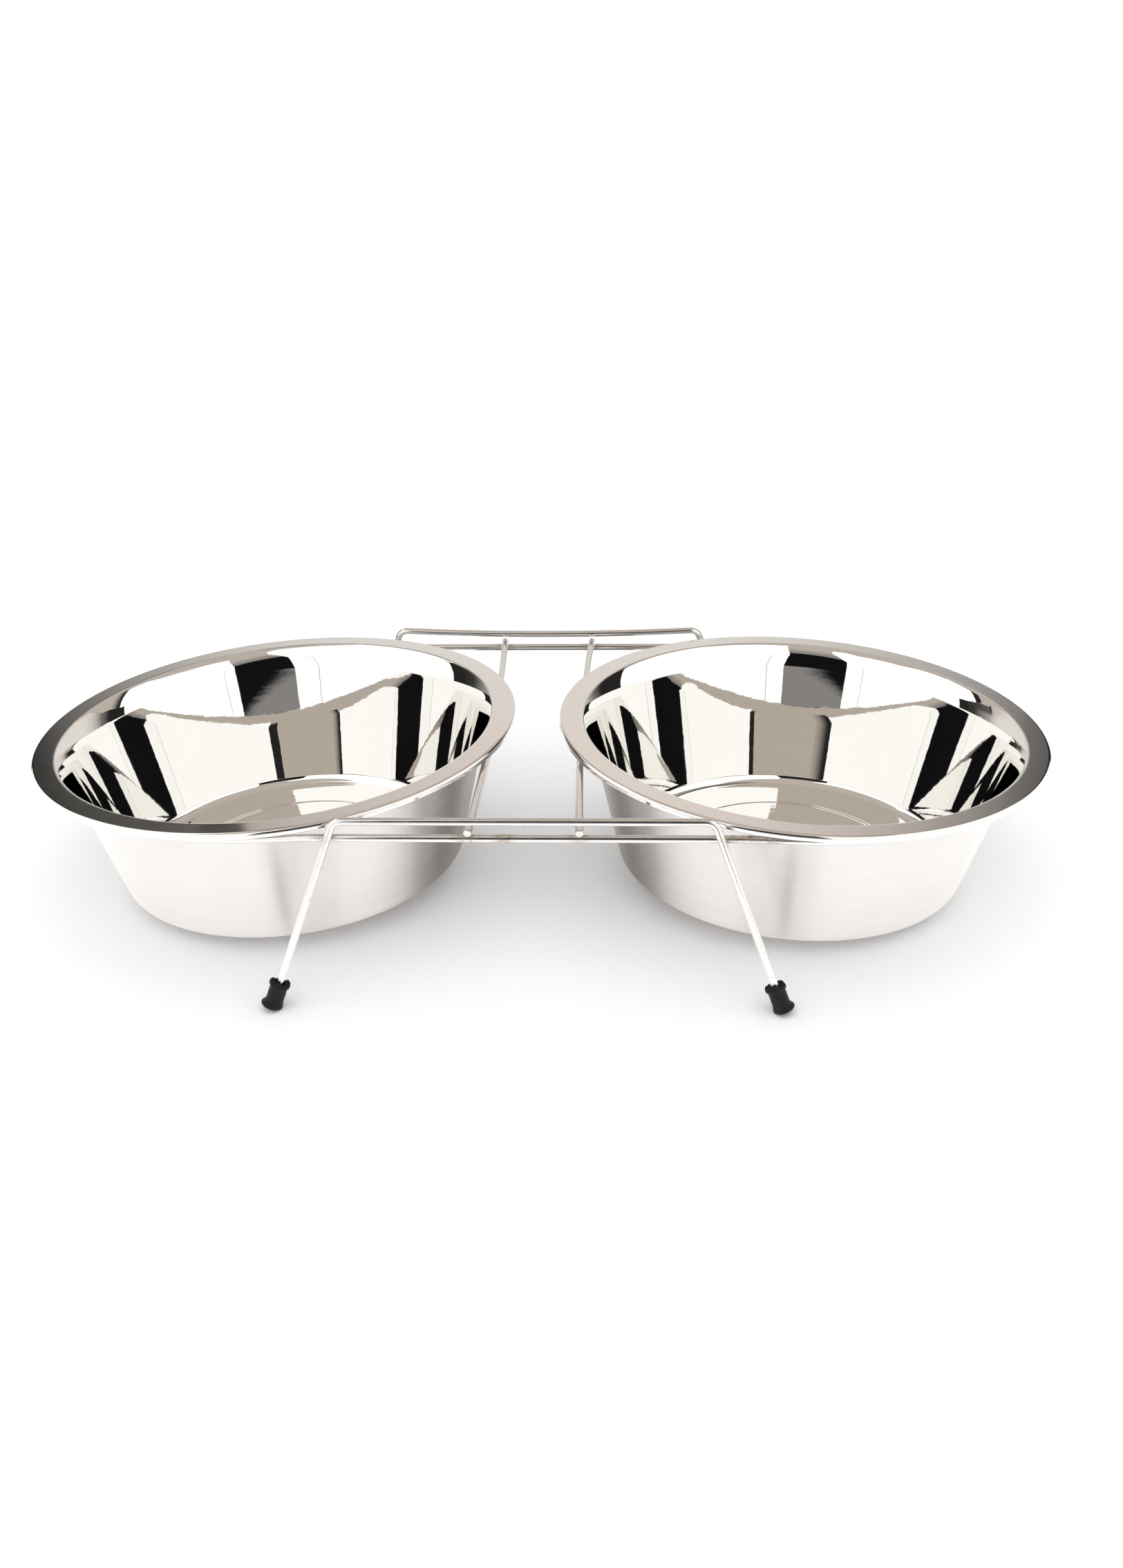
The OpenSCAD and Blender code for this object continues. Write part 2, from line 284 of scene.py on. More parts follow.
def bowlProfile():
    # from the middle of the floor up the inside, over the rim, and down the outside
    b = bowl
    t = b["sheet"]
    slopeDeg = b["mouthSlope"]
    slope = math.radians(slopeDeg)
    mouth = (b["rimRadius"] - b["rimWidth"], -b["mouthRound"])
    base = (b["baseRadius"], b["baseRound"] - b["height"])
    flare = onCircle(mouth, b["flareRadius"] - b["mouthRound"], -slope)
    run, drop = flare[0] - base[0], flare[1] - base[1]
    taper = math.acos((b["flareRadius"] - t + b["baseRound"]) / math.hypot(run, drop)) - math.atan2(drop, run)
    taperDeg = math.degrees(taper)
    wallOut = (math.cos(taper), -math.sin(taper))
    lip = (b["rimRadius"] - b["lipRound"], -b["lipRound"])
    edge = (b["rimRadius"] - t / 2, t / 2 - b["lipHeight"])
    floorTop, floorUnder = t - b["height"], -b["height"]
    discTop, discUnder = floorTop + b["discRise"], floorUnder + b["discRise"]
    rampEnd = b["discRadius"] + b["discRamp"]

    def ramp(level, side):
        # the raised disc falls to the floor in a soft step
        points = []
        for i in range(b["rampSteps"]):
            k = i / b["rampSteps"]
            steep = -6 * k * (1 - k) * b["discRise"] / b["discRamp"]
            size = math.hypot(steep, 1)
            points.append((b["discRadius"] + k * b["discRamp"], level + b["discRise"] * (1 - ease(k, 0, 1)),
                           -side * steep / size, side / size))
        return points

    def wallPoint(centre, radius):
        return (centre[0] + radius * wallOut[0], centre[1] + radius * wallOut[1])

    inside = linePart((0, discTop), (b["discRadius"], discTop), b["floorSteps"], (0, 1))
    inside += ramp(floorTop, 1)
    inside += linePart((rampEnd, floorTop), (b["baseRadius"], floorTop), b["floorSteps"], (0, 1))
    inside += arcPart(base, b["baseRound"] - t, -90, -taperDeg, b["baseSteps"], -1)
    wallFoot, wallTop = wallPoint(base, b["baseRound"] - t), wallPoint(flare, -b["flareRadius"])
    for i in range(b["wallSteps"]):    # the wall's shine leans a little more near the foot, as if it eased into it; the points stay on a straight line
        share = i / b["wallSteps"]
        lean = taper + math.radians(b["footEase"] + (b["topEase"] - b["footEase"]) * share)
        inside.append(mixed(wallFoot, wallTop, share) + (-math.cos(lean), math.sin(lean)))
    inside += arcPart(flare, b["flareRadius"], 180 - taperDeg, 180 - slopeDeg, b["flareSteps"])
    inside += arcPart(mouth, b["mouthRound"], 180 - slopeDeg, b["mirrorEnd"], 9)

    rim = arcPart(mouth, b["mouthRound"], b["mirrorEnd"], 90, 2)
    rim += linePart((mouth[0], 0), (lip[0], 0), 5, (0, 1))
    rim += arcPart(lip, b["lipRound"], 90, 0, 9)
    rim += linePart((b["rimRadius"], lip[1]), (b["rimRadius"], edge[1]), 2, (1, 0))
    rim += arcPart(edge, t / 2, 0, -180, 8)
    rim += linePart((b["rimRadius"] - t, edge[1]), (b["rimRadius"] - t, lip[1]), 2, (-1, 0))
    rim += arcPart(lip, b["lipRound"] - t, 0, 90, 6, -1)

    outside = linePart((lip[0], -t), (mouth[0], -t), 4, (0, -1))
    outside += arcPart(mouth, b["mouthRound"] - t, 90, 180 - slopeDeg, 8, -1)
    outside += arcPart(flare, b["flareRadius"] - t, 180 - slopeDeg, 180 - taperDeg, b["flareSteps"], -1)
    outside += linePart(wallPoint(flare, t - b["flareRadius"]), wallPoint(base, b["baseRound"]),
                        b["wallSteps"], wallOut)
    outside += arcPart(base, b["baseRound"], -taperDeg, -90, b["baseSteps"])
    outside += linePart((b["baseRadius"], floorUnder), (rampEnd, floorUnder), b["floorSteps"], (0, -1))
    outside += [(rampEnd, floorUnder, 0, -1)] + ramp(floorUnder, -1)[:0:-1]
    outside += linePart((b["discRadius"], discUnder), (0, discUnder), b["floorSteps"], (0, -1))
    outside += [(0, discUnder, 0, -1)]
    return [p + (zone,) for zone, part in enumerate((inside, rim, outside)) for p in part]


bowlFinishes = [makeMirrorSteel(), makeRimSteel(), makeBrushedSteel()]    # in the order of the zones
for side, name in bothSides:
    tilted = Matrix.Rotation(math.radians(side * bowl["tilt"]), 4, "Y")
    hang = Matrix.Translation((side * bowl["reach"], 0, bowl["rimTop"])) @ tilted
    piece = addObject(name + "Bowl", lathe(name + "Bowl", bowlProfile(), bowl["around"]), bowlFinishes, hang)
    place(piece, name + " bowl", name + "_bowl")
print("bowls done")


# wire of the stand

platedWire = {"colour": (0.83, 0.815, 0.80, 1), "drawn": (0.76, 0.74, 0.715, 1), "pit": (0.42, 0.38, 0.33, 1),
              "burnt": (0.30, 0.195, 0.10, 1), "roughLow": 0.09, "roughHigh": 0.2, "burntRough": 0.25,
              "drawnScale": 160, "drawnDepth": 0.1 * mm, "drawnStrength": 0.05,
              "pitScale": 900, "pitShare": 0.6, "stainScale": 420}


def makePlatedWire():
    look = platedWire
    material, tree, shader = newMaterial("platedWire", {"Metallic": 1.0})
    spot = objectSpot(tree)
    heat = addNode(tree, "ShaderNodeAttribute", attribute_name="weldHeat").outputs["Fac"]
    drawn = noiseNode(tree, spot, look["drawnScale"], 4, 0.6)
    pits = spread(tree, noiseNode(tree, spot, look["pitScale"]), 0.66, 0.72, 0, look["pitShare"])
    patchy = spread(tree, noiseNode(tree, spot, look["stainScale"], 3, 0.6), 0.3, 0.55, 0, 1)
    stain = mathNode(tree, "MULTIPLY", heat, patchy)
    bright = blendColours(tree, drawn, look["colour"], look["drawn"])
    spotted = blendColours(tree, pits, bright, look["pit"])
    rough = spread(tree, drawn, 0.3, 0.7, look["roughLow"], look["roughHigh"])
    feed(tree, shader, {
        "Base Color": blendColours(tree, stain, spotted, look["burnt"]),
        "Roughness": mathNode(tree, "ADD", rough, mathNode(tree, "MULTIPLY", stain, look["burntRough"])),
        "Normal": bumpNode(tree, drawn, look["drawnDepth"], look["drawnStrength"])})
    return material


wire = {"radius": 1.6 * mm, "around": 24, "spacing": 1.6 * mm, "legSpacing": 1.2 * mm, "endRound": 0.35 * mm,
        "heatFall": 1.5, "loopHeat": 7 * mm, "legHeat": 4.6 * mm, "rodHeat": 3.2 * mm}    # how far a weld stains


def smoothRun(points, spacing, closed=False):
    # the same route with points at an even spacing
    route = [Vector(p) for p in points] + ([Vector(points[0])] if closed else [])
    lengths = [0.0]
    for a, b in zip(route, route[1:]):
        lengths.append(lengths[-1] + (b - a).length)
    count = max(2, round(lengths[-1] / spacing))
    run, k = [], 0
    for i in range(count if closed else count + 1):
        at = lengths[-1] * i / count
        while k < len(route) - 2 and lengths[k + 1] < at:
            k += 1
        share = (at - lengths[k]) / max(lengths[k + 1] - lengths[k], 1e-9)
        run.append(route[k].lerp(route[k + 1], min(max(share, 0), 1)))
    return run


def heatLayer(shape):
    layers = shape.verts.layers.float
    return layers.get("weldHeat") or layers.new("weldHeat")


def sweepWire(shape, route, closed, hot, heatReach, swell=()):
    # a ring of points at each place of the route; the ends get a flat cut with a rounded edge
    count = len(route)
    tangents = []
    for i in range(count):
        before = route[i - 1] if closed or i else route[i]
        after = route[(i + 1) % count] if closed or i < count - 1 else route[i]
        tangents.append((after - before).normalized())
    up = Vector((0, 0, 1)) if abs(tangents[0].z) < 0.9 else Vector((1, 0, 0))
    across = tangents[0].cross(up).normalized()
    heat = heatLayer(shape)

    def ring(centre, across, tangent, radius):
        other = tangent.cross(across)
        verts = []
        for j in range(wire["around"]):
            turn = 2 * math.pi * j / wire["around"]
            vert = shape.verts.new(centre + (across * math.cos(turn) + other * math.sin(turn)) * radius)
            near = min([(vert.co - h).length for h in hot], default=1)
            vert[heat] = max(0.0, 1 - near / heatReach) ** wire["heatFall"]
            verts.append(vert)
        return verts

    rings = []
    r, e = wire["radius"], wire["endRound"]
    for i in range(count):
        along = tangents[i]
        across = (across - along * across.dot(along)).normalized()
        if closed or 0 < i < count - 1:
            bulge = sum(height * math.exp(-((route[i] - at).length / reach) ** 2) for at, height, reach in swell)
            rings.append(ring(route[i], across, along, r + bulge))
            continue
        inward, turns = (along, (90, 68, 45, 22, 0)) if i == 0 else (-along, (0, 22, 45, 68, 90))
        for turn in turns:
            back, down = e * (1 - math.sin(math.radians(turn))), e * (1 - math.cos(math.radians(turn)))
            rings.append(ring(route[i] + inward * back, across, along, r - down))
    pairs = list(zip(rings, rings[1:])) + ([(rings[-1], rings[0])] if closed else [])
    for a, b in pairs:
        for j in range(wire["around"]):
            k = (j + 1) % wire["around"]
            shape.faces.new((a[j], a[k], b[k], b[j])).smooth = True
    if not closed:
        shape.faces.new(rings[0][::-1])
        shape.faces.new(rings[-1])


collar = {"radius": 1.25 * mm, "height": 0.5 * mm, "lump": 0.22, "around": 20, "rows": 10,
          "legSeed": 3.7, "rodSeed": 2.3, "firstRodSeed": 20,
          "legOffset": 1.5 * mm, "rodOffset": 1.45 * mm}    # from the middle of the loop's wire to the weld


def weldCollar(shape, at, normal, seed):
    # metal squeezed out around a spot where two wires are fused
    heat = heatLayer(shape)
    first = normal.orthogonal().normalized()
    second = normal.cross(first)
    rows = []
    for i in range(1, collar["rows"]):
        tip = math.pi * i / collar["rows"]
        row = []
        for j in range(collar["around"]):
            turn = 2 * math.pi * j / collar["around"]
            c, s = math.cos(turn), math.sin(turn)
            lump = 1 + collar["lump"] * noise.noise(Vector((3 * c + seed, 3 * s, 2 * math.cos(tip))))
            out = collar["radius"] * math.sin(tip) * lump
            up = collar["height"] * math.cos(tip)
            vert = shape.verts.new(at + first * out * c + second * out * s + normal * up)
            vert[heat] = 1.0
            row.append(vert)
        rows.append(row)
    for a, b in zip(rows, rows[1:]):
        for j in range(collar["around"]):
            k = (j + 1) % collar["around"]
            shape.faces.new((a[j], b[j], b[k], a[k])).smooth = True
    shape.faces.new(rows[0])
    shape.faces.new(rows[-1][::-1])


def finishWire(name, shape, node):
    bmesh.ops.recalc_face_normals(shape, faces=shape.faces)
    mesh = bpy.data.meshes.new(name)
    shape.to_mesh(mesh)
    shape.free()
    place(addObject(name, mesh, [wireFinish]), "stand", node)


wireFinish = makePlatedWire()

loop = {"sideY": 102.9 * mm, "level": 70.605 * mm, "endDrop": 3.8 * mm, "endX": 215.70 * mm,
        "kinkX": 85.27 * mm, "kinkRadius": 60 * mm,
        "buttWeldX": -8 * mm, "buttSwell": 0.12 * mm, "buttReach": 1.6 * mm,
        "scorchX": (80 * mm, 88 * mm, 97 * mm), "scorchRise": 1.5 * mm,    # burnt specks beside the right leg
        "sideSteps": 60, "kinkSteps": 4, "slopeSteps": 20, "endSteps": 160}


def loopRoute():
    o = loop
    turn = math.atan2(o["endDrop"], o["endX"] - o["kinkX"])
    kinkRun = o["kinkRadius"] * math.tan(turn / 2)
    reach = (o["endX"] - o["kinkX"]) / math.cos(turn)
    y, level = o["sideY"], o["level"]

    def sloped(u, atY):
        # a point past the kink, u along the slope
        return (o["kinkX"] + u * math.cos(turn), atY, level - u * math.sin(turn))

    quarter = []    # from the middle of the front to the tip of the right end
    for i in range(o["sideSteps"]):
        quarter.append((i / o["sideSteps"] * (o["kinkX"] - kinkRun), -y, level))
    for i in range(o["kinkSteps"] + 1):
        a = turn * i / o["kinkSteps"]
        quarter.append((o["kinkX"] - kinkRun + o["kinkRadius"] * math.sin(a), -y,
                        level - o["kinkRadius"] * (1 - math.cos(a))))
    for i in range(1, o["slopeSteps"]):
        quarter.append(sloped(kinkRun + (reach - y - kinkRun) * i / o["slopeSteps"], -y))
    for i in range(o["endSteps"] + 1):
        a = math.pi / 2 * i / o["endSteps"]
        quarter.append(sloped(reach - y + y * math.sin(a), -y * math.cos(a)))
    half = quarter + [(x, -yy, z) for x, yy, z in quarter[-2:0:-1]]
    return half + [(-x, -yy, z) for x, yy, z in half]


legWire = {"planeY": 105.735 * mm, "barRise": 8.1 * mm, "barWidth": 148.6 * mm, "bendRadius": 4.5 * mm,
           "splay": 19.9, "lean": 9.0, "rearSag": 1.8 * mm, "footTuck": 3 * mm,
           "barSteps": 40, "bendSteps": 12, "legSteps": 30}

# the rubber foot stands here because the legs end in it
foot = {"baseRadius": 4.9 * mm, "bodyRadius": 3.6 * mm, "beadRadius": 4.3 * mm, "length": 11 * mm,
        "squash": 0.6 * mm, "edge": 0.8 * mm, "edgeTurn": 55, "hollow": 2.4, "hollowSteps": 12,
        "flareTop": 4 * mm, "bodyLow": 4.6 * mm, "bead": 1 * mm, "beadEnd": 100, "hole": 1.65 * mm, "floor": 3 * mm,
        # the mouth of the hole: how far out from the hole, and how far down from the top
        "mouth": ((0.95 * mm, 0.03 * mm), (0.5 * mm, 0.5 * mm), (0, 1.2 * mm)),
        "wear": 0.7, "wearFrom": 0.05, "wearTo": 0.75,
        "ragged": 1.5 * mm, "raggedDepth": 2.2 * mm, "raggedWaves": (1.7, 5.1), "fineShare": 0.5,
        "seeds": (2.7, 1.3), "around": 72, "sharpEdge": 40}


def legRoute(sag):
    w = legWire
    bendTurn = math.radians(90 - w["splay"])
    lean = math.radians(w["lean"])
    barV = w["barRise"] / math.cos(lean)
    halfBar = w["barWidth"] / 2 - w["bendRadius"] * math.tan(bendTurn / 2)
    sagTurn = 2 * math.atan(sag / halfBar)
    flat = []    # drawn flat, from the middle of the bar down the right leg
    for i in range(w["barSteps"]):
        if sag:
            radius = halfBar / math.sin(sagTurn)
            a = sagTurn * i / w["barSteps"]
            flat.append((radius * math.sin(a), barV - sag + radius * (1 - math.cos(a))))
        else:
            flat.append((halfBar * i / w["barSteps"], barV))
    centre = (halfBar + w["bendRadius"] * math.sin(sagTurn), barV - w["bendRadius"] * math.cos(sagTurn))
    for i in range(w["bendSteps"] + 1):
        a = math.pi / 2 + sagTurn - (bendTurn + sagTurn) * i / w["bendSteps"]
        flat.append(onCircle(centre, w["bendRadius"], a))
    tip = math.acos(math.cos(lean) * math.cos(math.radians(w["splay"])))
    footV = (foot["baseRadius"] * math.sin(tip) - foot["squash"] - loop["level"]) / math.cos(lean)
    top = flat[-1]
    legLength = (top[1] - footV) / math.sin(bendTurn)
    for i in range(1, w["legSteps"] + 1):
        flat.append(onCircle(top, (legLength - w["footTuck"]) * i / w["legSteps"], -bendTurn))
    base = onCircle(top, legLength, -bendTurn)

    def stood(u, v):
        return Vector((u, -w["planeY"] + v * math.sin(lean), loop["level"] + v * math.cos(lean)))

    right = [stood(*p) for p in flat]
    route = [Vector((-p.x, p.y, p.z)) for p in right[:0:-1]] + right
    return route, stood(*base), (stood(*top) - stood(*base)).normalized()


# side of the stand, route, middle of the right foot's base, and the way up the right leg; both drawn at the front
legs = {"front": (1, *legRoute(0.0)), "rear": (-1, *legRoute(legWire["rearSag"]))}

rod = {"middleX": 19.70 * mm, "bow": 2.2 * mm, "half": 104.5 * mm, "level": 73.405 * mm, "steps": 120}


def rodRoute(side):
    turn = 2 * math.atan(rod["bow"] / rod["half"])
    radius = rod["half"] / math.sin(turn)
    route = []
    for i in range(rod["steps"] + 1):
        a = turn * (2 * i / rod["steps"] - 1)
        route.append((side * (rod["middleX"] + radius * (1 - math.cos(a))), radius * math.sin(a), rod["level"]))
    return route


# where a leg crosses the loop, and where a rod rests on it
corners = [(sx, sy) for sx in (-1, 1) for sy in (-1, 1)]
crossX = next(p.x for p in legs["front"][1] if p.x > 0 and p.z < loop["level"])
rodEndX = rod["middleX"] + rod["bow"]
legWelds = [Vector((sx * crossX, sy * (loop["sideY"] + collar["legOffset"]), loop["level"])) for sx, sy in corners]
rodWelds = [Vector((sx * rodEndX, sy * loop["sideY"], loop["level"] + collar["rodOffset"])) for sx, sy in corners]
buttWeld = Vector((loop["buttWeldX"], -loop["sideY"], loop["level"]))
scorched = [Vector((x, -loop["sideY"], loop["level"] + loop["scorchRise"])) for x in loop["scorchX"]]

shape = bmesh.new()
sweepWire(shape, smoothRun(loopRoute(), wire["spacing"], True), True, legWelds + rodWelds + [buttWeld] + scorched,
          wire["loopHeat"], [(buttWeld, loop["buttSwell"], loop["buttReach"])])
for i, at in enumerate(legWelds):
    weldCollar(shape, at, Vector((0, math.copysign(1, at.y), 0)), i * collar["legSeed"])
for i, at in enumerate(rodWelds):
    weldCollar(shape, at, Vector((0, 0, 1)), collar["firstRodSeed"] + i * collar["rodSeed"])
finishWire("cradleWire", shape, "cradle_loop")

for side, name in bothSides:
    shape = bmesh.new()
    sweepWire(shape, smoothRun(rodRoute(side), wire["spacing"]), False, rodWelds, wire["rodHeat"])
    finishWire(name + "CrossRod", shape, name + "_cross_rod")

for name, (sy, route, base, axis) in legs.items():
    shape = bmesh.new()
    turned = [Vector((p.x, sy * p.y, p.z)) for p in route]
    sweepWire(shape, smoothRun(turned, wire["legSpacing"]), False, legWelds, wire["legHeat"])
    finishWire(name + "LegWire", shape, name + "_leg_wire")
print("stand done")


# rubber feet

footRubber = {"colour": (0.0088, 0.0082, 0.009, 1), "dusty": (0.026, 0.0245, 0.025, 1), "gloss": 0.18,
              "dustScale": 350, "mostDust": 0.7, "roughClean": 0.48, "roughDusty": 0.75,
              "grainScale": 2400, "grainDepth": 0.08 * mm, "grainStrength": 0.25}


def makeFootRubber():
    look = footRubber
    material, tree, shader = newMaterial("footRubber", {"Specular IOR Level": look["gloss"]})
    spot = objectSpot(tree)
    grain = noiseNode(tree, spot, look["grainScale"], 3, 0.6)
    dust = spread(tree, noiseNode(tree, spot, look["dustScale"], 4, 0.65), 0.45, 0.75, 0, look["mostDust"])
    feed(tree, shader, {
        "Base Color": blendColours(tree, dust, look["colour"], look["dusty"]),
        "Roughness": spread(tree, dust, 0, look["mostDust"], look["roughClean"], look["roughDusty"]),
        "Normal": bumpNode(tree, grain, look["grainDepth"], look["grainStrength"])})
    return material


def footProfile():
    # from the middle of the base up the outside, over the bead, and down the hole
    f = foot
    edge = (f["baseRadius"] - f["edge"], f["edge"])
    bead = (f["beadRadius"] - f["bead"], f["length"] - f["bead"])
    points = [(0, 0), (edge[0] * 0.5, 0)]
    points += [p[:2] for p in arcPart(edge, f["edge"], -90, f["edgeTurn"], 10)]
    start = onCircle(edge, f["edge"], math.radians(f["edgeTurn"]))
    for i in range(f["hollowSteps"] + 1):    # hollow curve from the base up to the body
        k = i / f["hollowSteps"]
        points.append((start[0] + (f["bodyRadius"] - start[0]) * (1 - (1 - k) ** f["hollow"]),
                       start[1] + (f["flareTop"] - start[1]) * k))
    low = math.degrees(math.asin((f["bodyRadius"] - bead[0]) / f["bead"])) - 90
    bodyTop = bead[1] + f["bead"] * math.sin(math.radians(low))
    points += [(f["bodyRadius"], f["bodyLow"] + (bodyTop - f["bodyLow"]) * i / 4) for i in range(4)]
    points += [p[:2] for p in arcPart(bead, f["bead"], low, f["beadEnd"], 14)]
    points += [(f["hole"] + out, f["length"] - down) for out, down in f["mouth"]]
    points += [(f["hole"], f["floor"]), (0, f["floor"])]
    return [(r, z, 0, 0, 0) for r, z in points]    # no normals of its own, Blender works them out


def wearFoot(mesh, outer, seed):
    # the top is cut by hand, and the base keeps its flare on the outer side only
    f = foot
    coarse, fine = f["raggedWaves"]
    outer = outer.xy.normalized()
    for vert in mesh.vertices:
        x, y, z = vert.co
        radius = math.hypot(x, y)
        if radius < 0.1 * mm:    # on the axis
            continue
        around = Vector((x / radius, y / radius, seed))
        cut = max(0, 1 - (f["length"] - z) / f["raggedDepth"])
        lump = noise.noise(around * coarse) + f["fineShare"] * noise.noise(around * fine)
        vert.co.z += cut * f["ragged"] * lump
        if z < f["flareTop"] and radius > f["bodyRadius"]:
            inner = ease(-around.xy.dot(outer), f["wearFrom"], f["wearTo"])
            shrunk = f["bodyRadius"] + (radius - f["bodyRadius"]) * (1 - f["wear"] * inner)
            vert.co.x, vert.co.y = x * shrunk / radius, y * shrunk / radius


def cutLevel(mesh):
    # the foot ends flat on the floor
    shape = bmesh.new()
    shape.from_mesh(mesh)
    bmesh.ops.bisect_plane(shape, geom=shape.verts[:] + shape.edges[:] + shape.faces[:], dist=1e-7,
                           plane_co=(0, 0, 0), plane_no=(0, 0, -1), clear_outer=True)
    bmesh.ops.holes_fill(shape, edges=[e for e in shape.edges if e.is_boundary], sides=0)
    bmesh.ops.recalc_face_normals(shape, faces=shape.faces)
    level = bpy.data.meshes.new(mesh.name)
    shape.to_mesh(level)
    shape.free()
    bpy.data.meshes.remove(mesh)
    level.polygons.foreach_set("use_smooth", [True] * len(level.polygons))
    level.set_sharp_from_angle(angle=math.radians(foot["sharpEdge"]))
    return level


footFinish = makeFootRubber()
for end, (sy, route, base, axis) in legs.items():
    for sx, side in bothSides:
        name = end + side.capitalize() + "Foot"
        flip = Vector((sx, sy, 1))
        upright = (axis * flip).to_track_quat("Z", "Y")
        mesh = lathe(name, footProfile(), foot["around"])
        wearFoot(mesh, upright.inverted() @ Vector((sx, 0, 0)), foot["seeds"][0] * sx + foot["seeds"][1] * sy)
        mesh.transform(Matrix.Translation(base * flip) @ upright.to_matrix().to_4x4())
        piece = addObject(name, cutLevel(mesh), [footFinish])
        place(piece, "stand", end + "_" + side + "_foot")
print("feet done")


# floor and light

studio = {"floorSize": 9.0, "floorColour": (0.93, 0.93, 0.935, 1), "floorGrain": (0.92, 0.92, 0.925, 1),
          "grainScale": 220, "floorLift": (0.12, 0.12, 0.12, 1), "mirrorLift": (0.36, 0.36, 0.36, 1),
          "allLight": 0.57, "topLight": 0.90, "topFocus": 3, "frontLight": 0.58, "roof": (0.53, 0.472, 0.42)}


def makeFloor():
    material, tree = emptyMaterial("studioFloor")
    grain = noiseNode(tree, objectSpot(tree), studio["grainScale"])
    colour = blendColours(tree, grain, studio["floorColour"], studio["floorGrain"])
    paper = addNode(tree, "ShaderNodeBsdfDiffuse", {"Color": colour})
    path = addNode(tree, "ShaderNodeLightPath").outputs
    choose = paper
    for ray, extra in (("Is Glossy Ray", "mirrorLift"), ("Is Camera Ray", "floorLift")):    # it looks whiter to them
        lift = addNode(tree, "ShaderNodeBsdfDiffuse", {"Color": studio[extra]})
        both = addNode(tree, "ShaderNodeAddShader", {0: paper.outputs[0], 1: lift.outputs[0]})
        choose = addNode(tree, "ShaderNodeMixShader", {0: path[ray], 1: choose.outputs[0], 2: both.outputs[0]})
    addNode(tree, "ShaderNodeOutputMaterial", {"Surface": choose.outputs[0]})
    half = studio["floorSize"] / 2
    mesh = bpy.data.meshes.new("studioFloor")
    mesh.from_pydata([(-half, -half, 0), (half, -half, 0), (half, half, 0), (-half, half, 0)], [], [(0, 1, 2, 3)])
    addObject("studioFloor", mesh, [material])


def makeWorld():
    # soft light from above and the front, a taupe room in reflections, white behind the floor
    world = bpy.data.worlds.new("studioWorld")
    world.use_nodes = True
    tree = world.node_tree
    tree.nodes.clear()
    way = addNode(tree, "ShaderNodeTexCoord").outputs["Generated"]
    parts = addNode(tree, "ShaderNodeSeparateXYZ", {0: way}).outputs
    above = mathNode(tree, "POWER", spread(tree, parts["Z"], 0, 1, 0, 1), studio["topFocus"])
    fromTop = spread(tree, above, 0, 1, studio["allLight"], studio["allLight"] + studio["topLight"])
    fromFront = spread(tree, parts["Y"], 0, -1, 0, studio["frontLight"])
    level = mathNode(tree, "ADD", fromTop, fromFront)
    white = (1, 1, 1, 1)
    soft = addNode(tree, "ShaderNodeBackground", {"Color": white, "Strength": level})
    roof = addNode(tree, "ShaderNodeBackground", {"Color": studio["roof"] + (1,), "Strength": 1.0})
    behind = addNode(tree, "ShaderNodeBackground", {"Color": white, "Strength": 1.0})
    path = addNode(tree, "ShaderNodeLightPath").outputs
    lit = addNode(tree, "ShaderNodeMixShader", {0: path["Is Glossy Ray"], 1: soft.outputs[0], 2: roof.outputs[0]})
    seen = addNode(tree, "ShaderNodeMixShader", {0: path["Is Camera Ray"], 1: lit.outputs[0], 2: behind.outputs[0]})
    addNode(tree, "ShaderNodeOutputWorld", {"Surface": seen.outputs[0]})
    bpy.context.scene.world = world


makeFloor()
makeWorld()


# cards round the table, which only the shiny surfaces see: white panels, a dark slit and grey paper


def makeGlow():
    # the cards shine with the colour that is painted on them
    material, tree = emptyMaterial("studioGlow")
    paint = addNode(tree, "ShaderNodeAttribute", attribute_name="paint").outputs["Color"]
    glow = addNode(tree, "ShaderNodeEmission", {"Color": paint, "Strength": 1.0})
    addNode(tree, "ShaderNodeOutputMaterial", {"Surface": glow.outputs[0]})
    return material


glowFinish = makeGlow()


def addCard(name, verts, faces, colours):
    mesh = bpy.data.meshes.new(name)
    mesh.from_pydata(verts, [], faces)
    paint = mesh.attributes.new("paint", "FLOAT_COLOR", "POINT")
    for i, colour in enumerate(colours):
        paint.data[i].color = tuple(colour) + (1,)
    card = addObject(name, mesh, [glowFinish])
    card.visible_camera = False
    card.visible_diffuse = False
    card.visible_shadow = False
    card.visible_transmission = False
    card.visible_volume_scatter = False


def curtain(name, plan, colour, steps=(1, 1)):
    # an upright card; each point of its plan: x, y, lowest, highest; the colour may depend on x and z
    verts, colours, faces = [], [], []
    line = [Vector(plan[0])]
    for a, b in zip(plan, plan[1:]):
        line += [Vector(a).lerp(Vector(b), i / steps[0]) for i in range(1, steps[0] + 1)]
    for x, y, low, high in line:
        for j in range(steps[1] + 1):
            z = low + (high - low) * j / steps[1]
            verts.append((x, y, z))
            colours.append(colour(x, z) if callable(colour) else colour)
    row = steps[1] + 1
    for i in range(len(line) - 1):
        for j in range(steps[1]):
            faces.append((i * row + j, (i + 1) * row + j, (i + 1) * row + j + 1, i * row + j + 1))
    addCard(name, verts, faces, colours)


# painted shade between the bowls: a dim card that only reflections see, paler and wider towards the front
shadeCard = {"front": -0.072, "rows": 20, "rowLength": 0.012, "half": 0.044, "widens": 0.5, "widensFrom": -0.02,
       "lift": 0.4 * mm, "tint": (1, 0.96, 0.93), "grey": 0.25,
       "paler": ((0.09, -0.01, -0.04), (0.58, -0.034, -0.07))}    # how much, from where, to where


